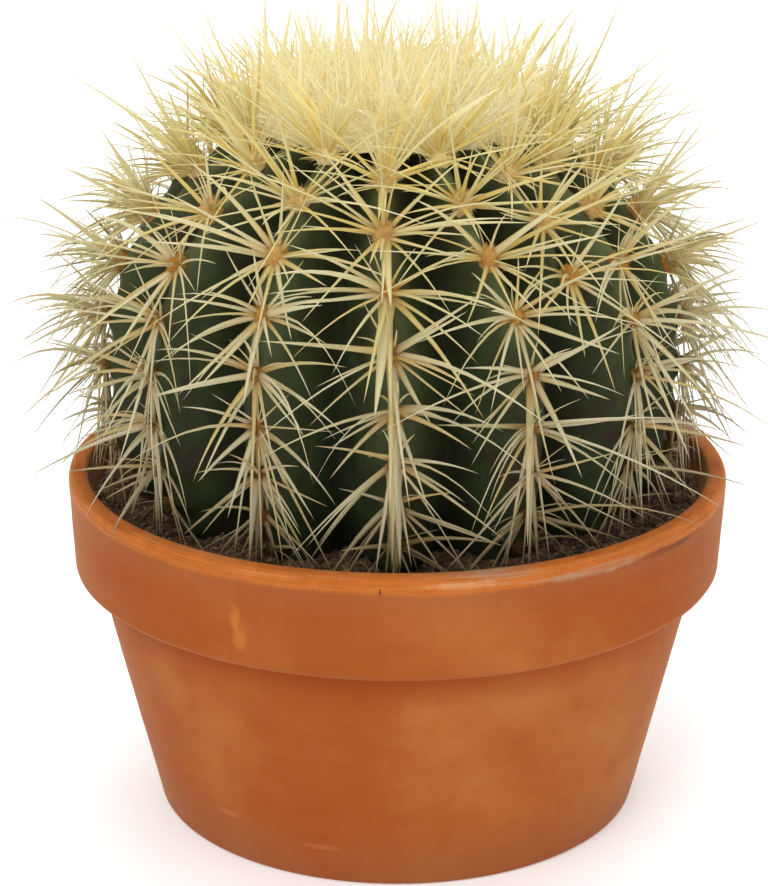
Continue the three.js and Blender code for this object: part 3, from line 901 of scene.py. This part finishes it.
def spineRow(place, ways, rng):
    # the chosen spines of one rib: clock angle, lift, length and width jittered, bent down by their droop
    front = place == 0
    ways, (clock, lift, length, width), onlyYoung = chooseSpines(place, ways, rng)
    count, age = len(ways), youth(ways)
    centre, normal, down, side = areoleFrame(np.full(count, float(place)), ways)
    # young upright ones stand every way, broad hanging ones keep closer to straight down
    hanging = (np.abs(clock) > 170) & (width > 2)
    stray = np.where(hanging, 0.35 if front else 0.75, 1)
    stray = np.where(onlyYoung, fanOut["youngStray"], stray)
    clock = clock + rng.normal(0, fanOut["clockJitter"], count) * stray
    sagging = np.clip(180 - np.abs(clock), 0, 90) * 0.22 * smooth(age, 0.4, 0.1)
    clock = np.radians(clock + np.sign(clock) * sagging)
    lift = lift + rng.normal(0, fanOut["liftJitter"], count) * stray
    lift = np.radians(np.clip(lift + fanOut["youngLift"] * smooth(age, 0.55, 1), 4, 86))
    # broad hanging ones are short on young areoles, the others a little longer there
    shorter = 0.45 * smooth(age, 0.45, 0.68) if front else 0.55 * smooth(age, 0.2, 0.7)
    growth = np.where(hanging, 1 - shorter, 1 + 0.14 * smooth(age, 0.3, 0.7))
    jitter = fanOut["lengthJitter"] * np.clip(rng.normal(0, 1, count), -2, 1.2)
    length = length * growth * (1 + jitter)
    width = width * np.exp(np.clip(rng.normal(0, 0.25, count), -0.5, 0.36))
    # the rib that faces front carries the broadest ones
    width = width * np.where(hanging, 1.2 if front else rng.uniform(0.5, 0.9, count), 1)
    width = width * (1 - np.where(hanging, 0.4, 0.15) * smooth(age, 0.2, 0.9))
    way = aim(clock, lift, normal, down, side)[1]
    central = smooth(np.degrees(lift), 35, 60)
    reach = (0.8 + 0.3 * rng.random(count)) * (1 - 0.6 * central)
    foot = -down * (np.cos(clock) * fanOut["footAlong"] * reach)[:, None]
    foot = foot + side * (np.sin(clock) * fanOut["footAcross"] * reach)[:, None]
    base = centre + normal * (0.4 + 0.8 * central)[:, None] + foot
    flat = np.cross(way, normal + 0.15 * rng.normal(size=(count, 3)))
    # low down at the sides they are shorter and arch over most
    arching = smooth(backwards(place), -0.9, -0.35)
    droop = (0.05 + fanOut["droop"] * (1 - age)) * (0.1 + 1.3 * rng.random(count) ** 1.6)
    droop = droop * (1 + arching * (0.5 + fanOut["sideArch"] * smooth(age, 0.8, 0.3)))
    length = length * (1 - fanOut["sideShortens"] * arching * smooth(age, 0.45, 0.12))
    droop = droop + fanOut["longDroop"] * (length > 36) * smooth(age, 0.8, 0.5)
    way = unit(way + skyward * (0.4 * droop)[:, None])
    bend = -skyward * droop[:, None] + rng.normal(0, 0.055, (count, 3)) * stray[:, None]
    overLip = rng.random(count) < fanOut["overLip"]
    return clearNeedles(overLip, base, way, flat, bend, length, width, rng.random(count), age)


horn = {
    # colours along an old needle, a young one and a crown one, from foot to tip
    "straw": {0: (0.25, 0.11, 0.028), 0.1: (0.36, 0.23, 0.075), 0.25: (0.39, 0.32, 0.16),
              0.8: (0.42, 0.385, 0.235), 1: (0.31, 0.26, 0.13)},
    "yellow": {0: (0.56, 0.34, 0.06), 0.25: (0.67, 0.55, 0.16), 1: (0.76, 0.69, 0.35)},
    "cream": {0: (0.72, 0.6, 0.25), 0.4: (0.75, 0.66, 0.36), 1: (0.77, 0.71, 0.46)},
    # old and young
    "pale": ((0.53, 0.5, 0.37), (0.78, 0.71, 0.42)), "under": ((0.44, 0.34, 0.145), (0.82, 0.7, 0.34)),
    "golden": ((0.41, 0.285, 0.1), (0.76, 0.56, 0.15)),
    "agedAndShaded": (0.22, 0.145, 0.06), "soilShade": (0.19, 0.135, 0.055), "glow": 0.17, "youngGlow": 0.29,
    # heights over which the painted shade near the soil and the painted glow come in
    "soiled": (119, 90), "lit": (96, 118),
}


def spineMaterial(name, glow):
    # straw with age, yellow when young and cream in the crown, each needle in a tone of its own, with a
    # painted glow higher up
    material, shader = newMaterial(name, Roughness=0.45, Specular_IOR_Level=0.35, Emission_Strength=glow)
    along, tone, age, top = tintOf(material)
    spot, z = objectPoint(material)
    straw, yellow, cream = (ramp(along, horn[key]) for key in ("straw", "yellow", "cream"))
    pale, under, golden = (blend(age, *horn[key]) for key in ("pale", "under", "golden"))
    colour = layered(straw, [
        (spread(age, 0.3, 0.85), yellow),
        (spread(tone, 0.3, 1, 0, 0.6), pale),
        # the oldest, lowest needles darker: partly aged horn, partly painted shade near the soil
        (spread(age, 0.2, 0, 0, 0.8), horn["agedAndShaded"]),
        # the underside of each needle: partly the horn's own two-tone, partly painted shade
        (spread(top, 0.5, 0.05, 0, 0.4), under),
        (spread(tone, 0.25, 0, 0, 0.7), golden),
        (times(spread(age, 0.9, 0.98), spread(tone, 0, 0.4, 0.3, 0.95)), cream),
        # painted shade, browner towards the soil, and finely streaked
        (fadeIn(z, horn["soiled"], 0, 0.85), horn["soilShade"]),
        (spread(noise(spot, 900, 3, 0.6), 0.5, 0.8, 0, 0.3), under),
    ])
    # painted glow: emission in the needle's own colour, stronger higher up and on younger needles
    lit = times(fadeIn(z, horn["lit"]), spread(age, 0.2, 0.9, 0.35, 1))
    feed(shader, Base_Color=colour, Emission_Color=blend(lit, (0, 0, 0), colour))
    return material


hornFinish = spineMaterial("spineHorn", horn["glow"])
# the crown's needles get the same finish with a stronger painted glow
youngBrightGlowHornFinish = spineMaterial("youngSpineHornBrightGlow", horn["youngGlow"])
rowCounts = {"shifted": 8, "plain": 9, "young": 3}


def rowWays(index):
    # a rib's place, and its areoles' ways from the apex: all but the plain ribs are shifted by half a step
    kind = "young" if index == plant["ribs"] else ("shifted", "plain")[index % 2]
    place = plant["young"] if kind == "young" else index
    return place, wayOf(np.arange(rowCounts[kind]) + (0 if kind == "plain" else 0.5))


def makeSpineRows():
    for index in range(plant["ribs"] + 1):
        shape = spineRow(*rowWays(index), np.random.default_rng(100 + index))
        number = f"{index + 1:02d}"
        makePiece(f"spines_{number}", shape, hornFinish, [f"spine_row_{number}"])


makeSpineRows()
print("spine rows ready")

crown = {
    # way from the apex, areoles in the ring, spines per areole, mean lift, length
    "rings": [(5, 6, 10, 76, 18), (12, 10, 10, 68, 19), (19.5, 14, 10, 60, 20), (27, 14, 11, 53, 21),
              (33, 14, 11, 47, 22)],
    "liftJitter": 24, "lengthJitter": 0.2, "width": 1.3, "bladeShare": 0.5, "bladeWidth": 3, "bladeLift": 62,
    "woolReach": 33, "woolHeight": 6.5, "woolRows": 22, "woolColumns": 96,
    "hairs": 11000, "hairLength": 8, "locks": 2200, "lockLength": 12, "lockWidth": 3.6,
}


def crownAreoles():
    # rings of areoles round the apex, every second one turned by half a place
    rng = np.random.default_rng(61)
    counts = [ring[1] for ring in crown["rings"]]
    kinds = np.repeat(np.arange(len(counts)), counts)
    ways = np.array(crown["rings"])[kinds, 0]
    places = [(np.arange(count) + 0.5 * (i % 2)) * plant["ribs"] / count for i, count in enumerate(counts)]
    places = np.concatenate(places) + rng.normal(0, 0.06, len(ways))
    return places, ways + rng.normal(0, 0.6, len(ways)), kinds


def makeCrownSpines():
    # upright fans crowded round the apex
    rng = np.random.default_rng(62)
    places, ways, kinds = crownAreoles()
    perAreole, mean, length = np.array(crown["rings"])[kinds, 2:].T
    pick = np.repeat(np.arange(len(ways)), perAreole.astype(int))
    count = len(pick)
    centre, normal, down, side = (v[pick] for v in areoleFrame(places, ways))
    clock = rng.uniform(0, turn, count)
    # half of them are broad blades, which keep more upright
    blade = rng.random(count) < crown["bladeShare"]
    lift = mean[pick] + rng.normal(0, crown["liftJitter"], count)
    lift = np.radians(np.clip(lift, np.where(blade, crown["bladeLift"], 25), 88))
    jitter = crown["lengthJitter"] * np.clip(rng.normal(0, 1, count), -2.2, 1.7)
    width = np.where(blade, crown["bladeWidth"], crown["width"]) * rng.uniform(0.6, 1.2, count)
    tangent, way = aim(clock, lift, normal, down, side)
    base = centre + normal * 0.5 + tangent * rng.uniform(0.2, 2.2, count)[:, None]
    flat = np.cross(way, rng.normal(size=(count, 3)))
    bend = rng.normal(0, 0.18, (count, 3))
    length = length[pick] * (1 + jitter)
    shape = needleMesh(needle, base, way, flat, bend, length, width, rng.random(count), np.ones(count))
    makePiece("crownNeedles", shape, youngBrightGlowHornFinish, ["crown_spines"])


def crownSkin(r):
    # height of the crest line's surface over the top of the plant
    inside = np.clip(1 - (r / plant["radius"]) ** 2, 0, 1)
    return plant["equator"] + plant["rise"] * np.sqrt(inside) - sunkBy(r)


wool = {
    # felt of the oldest areoles, of those halfway up, and the wool of the crown
    "old": {0: (0.09, 0.04, 0.012), 0.5: (0.18, 0.09, 0.025), 1: (0.29, 0.17, 0.055)},
    "tan": {0: (0.38, 0.145, 0.022), 0.5: (0.61, 0.31, 0.065), 1: (0.76, 0.5, 0.155)},
    "fresh": {0: (0.72, 0.56, 0.21), 0.5: (0.82, 0.71, 0.37), 1: (0.87, 0.81, 0.54)},
    "hollows": (0.66, 0.52, 0.36), "glow": 0.24,
}


def woolMaterial():
    # dark on old areoles, tan higher up and cream near the crown, where it has a little painted glow
    material, shader = newMaterial("paleWool", Roughness=0.9, Specular_IOR_Level=0.1,
                                   Emission_Strength=wool["glow"])
    tone, age = tintOf(material)[1:3]
    tuft = grainOf(objectPoint(material)[0], 260, 1700, 0.2)
    old, tan, fresh = (ramp(tone, wool[key]) for key in ("old", "tan", "fresh"))
    colour = layered(old, [(spread(age, 0.1, 0.55), tan), (spread(age, 0.55, 0.88), fresh)])
    shaded = times(tuft["Mask"], spread(age, 0.5, 0.95, 0.7, 0.2))
    colour = blend(shaded, colour, wool["hollows"], "MULTIPLY")
    feed(shader, Base_Color=colour, Emission_Color=blend(spread(age, 0.4, 0.9), (0, 0, 0), colour))
    roughen(shader, tuft["Height"], 0.6, 0.0006)
    return material


woolFinish = woolMaterial()


def woolCushion():
    # a low lumpy cushion closed underneath just above the skin, its edge waving with the ribs
    reach = crown["woolReach"]
    r = np.linspace(0.6, reach, crown["woolRows"])[:, None]
    angle = np.linspace(0, turn, crown["woolColumns"], endpoint=False)
    edge = 1 + 0.06 * np.cos(angle * plant["ribs"])
    ringR = r * (1 + (edge - 1) * (r / reach) ** 2)
    flat = onCircle(ringR, angle, 0)
    lumps = cloud(flat.reshape(-1, 3), 9, 64).reshape(ringR.shape)
    rise = (crown["woolHeight"] + 1.3 * lumps) * np.clip(1 - (r / reach) ** 4, 0, 1) ** 0.5 + 0.5
    top = flat + (crownSkin(ringR) + rise)[..., None] * skyward
    under = flat[::-1] + (crownSkin(ringR[::-1]) + 0.35)[..., None] * skyward
    poles = [[0, 0, top[0, :, 2].mean()], [0, 0, under[-1, :, 2].mean()]]
    points, faces = sealed(np.concatenate([top, under]), poles)
    return points, faces, tinted(len(points), 1, 0.65)


def woolHairs():
    # hairs standing out of the cushion: the last ones are broad pale locks, crowded towards its edge
    rng = np.random.default_rng(63)
    reach = crown["woolReach"]
    hairs = crown["hairs"] + crown["locks"]
    broad = np.arange(hairs) >= crown["hairs"]
    far = reach * 1.03 * np.where(broad, rng.random(hairs) ** 0.3, np.sqrt(rng.random(hairs)))
    at = rng.uniform(0, turn, hairs)
    lift = crown["woolHeight"] * np.clip(1 - (far / reach) ** 4, 0, 1) ** 0.5
    base = onCircle(far, at, crownSkin(far) + lift - 0.4)
    lean = onCircle(1, at, 0) * (far / reach)[:, None] * 0.9
    way = unit(skyward + lean + rng.normal(0, 0.55, (hairs, 3)))
    length = np.where(broad, crown["lockLength"], crown["hairLength"]) * rng.uniform(0.35, 1, hairs)
    bend = rng.normal(0, 0.2, (hairs, 3))
    width = rng.uniform(0.2, 0.36, hairs) * np.where(broad, crown["lockWidth"], 1)
    tone = np.where(broad, rng.uniform(0.7, 1, hairs), rng.uniform(0.3, 1, hairs))
    flat = rng.normal(size=(hairs, 3))
    return needleMesh(hair, base, way, flat, bend, length, width, tone, np.ones(hairs))


def makeCrownWool():
    points, faces, tints = joined(woolCushion(), woolHairs())
    makePiece("crownWool", (points + axisShift, faces, tints), woolFinish, ["crown_wool"])


felt = {
    "rings": 5, "columns": 9, "hairs": 105, "hairLength": 1.7, "hairWidth": 0.2,
    # size of an old pad, and what a young one has more
    "long": (2.1, 1.6), "wide": (1.6, 1.4), "high": (1.3, 1.9),
}


def feltSpots():
    # rib place and way from the apex of every rib's areoles and of the crown's outer ring
    rows = [rowWays(index) for index in range(plant["ribs"] + 1)]
    places, ways, kinds = crownAreoles()
    outer = kinds == len(crown["rings"]) - 1
    places = np.concatenate([np.full(len(w), float(p)) for p, w in rows] + [places[outer]])
    return places, np.concatenate([w for p, w in rows] + [ways[outer]])


def makeFelt():
    # a small domed pad at every areole, taller than wide, with short hairs all over it
    rng = np.random.default_rng(71)
    places, ways = feltSpots()
    centre, normal, down, side = areoleFrame(places, ways)
    count, age = len(ways), youth(ways)
    fresh, plump = smooth(age, 0.35, 0.95), smooth(age, 0.25, 0.75)
    long, wide, high = (felt[key][0] + felt[key][1] * plump for key in ("long", "wide", "high"))
    long = long * rng.uniform(0.9, 1.1, count)
    wide = wide * rng.uniform(0.9, 1.1, count)
    # the width, length and height of every pad as vectors, which stretch a unit ball
    pads = np.stack([side, down, normal], axis=1) * np.stack([wide, long, high], axis=1)[..., None]
    polar = (np.linspace(0, 1, felt["rings"] + 1)[1:] * math.pi * 0.62)[:, None]
    around = np.linspace(0, turn, felt["columns"], endpoint=False)
    ball, faces = sealed(onCircle(np.sin(polar), around, np.cos(polar)), skyward * [[1], [-0.5]])
    each = len(ball)
    bumps = np.ones((count, each, 1))
    bumps[:, :-2] = rng.uniform(0.78, 1.18, (count, each - 2, 1))
    points = centre[:, None] + ball @ pads * bumps
    tints = tinted((count, each), 1, rng.uniform(0.2, 0.6, count)[:, None], age[:, None])
    domes = (points.reshape(-1, 3), repeated(faces, count, each), tints)
    # hairs start on the dome and point away from its middle
    pick = np.repeat(np.arange(count), felt["hairs"])
    hairs = len(pick)
    out = unit(rng.normal(size=(hairs, 3)) * (1, 1, 0.8) + (0, 0, 0.7))
    out[:, 2] = np.abs(out[:, 2])
    start = centre[pick] + (out[:, None] @ pads[pick])[:, 0] * 0.85
    outwards = (out[:, None, :2] @ pads[pick, :2])[:, 0] + normal[pick] * (0.35 + out[:, 2])[:, None] * 1.6
    way = unit(outwards + rng.normal(0, 0.35, (hairs, 3)))
    length = felt["hairLength"] * (0.6 + 1.5 * fresh[pick] ** 2) * rng.uniform(0.5, 1.2, hairs)
    width = felt["hairWidth"] * rng.uniform(0.7, 1.3, hairs)
    flat, bend = rng.normal(size=(hairs, 3)), rng.normal(0, 0.15, (hairs, 3))
    tone = np.clip(rng.normal(0.6, 0.22, hairs), 0, 1)
    spun = needleMesh(hair, start, way, flat, bend, length, width, tone, age[pick])
    makePiece("areoleFelt", joined(domes, spun), woolFinish)


def makeFibres():
    # thin dry root threads lying on the soil
    rng = np.random.default_rng(43)
    count = soil["fibres"]
    base = groundSpots(count, rng, 2.5) + skyward * 0.5
    heading = rng.uniform(0, turn, count)
    way = unit(onCircle(1, heading, rng.uniform(-0.02, 0.25, count)))
    sideways = [rng.normal(0, 0.3, count), rng.normal(0, 0.3, count)]
    bend = np.stack([*sideways, -rng.uniform(0.05, 0.2, count)], axis=-1)
    length = rng.uniform(3, 9, count)
    width = rng.uniform(0.2, 0.45, count)
    tone = rng.uniform(0.5, 0.95, count)
    flat = rng.normal(size=(count, 3))
    overLip = np.full(count, False)
    points, faces, tints = clearNeedles(overLip, base, way, flat, bend, length, width, tone, tone)
    # the crumb colours read the tone from the first channel
    tints[:, 0] = tints[:, 1]
    makePiece("soilFibres", (points, faces, tints), crumbFinish)


makeCrownSpines()
makeCrownWool()
makeFelt()
makeFibres()
print("crown, felt and fibres ready")
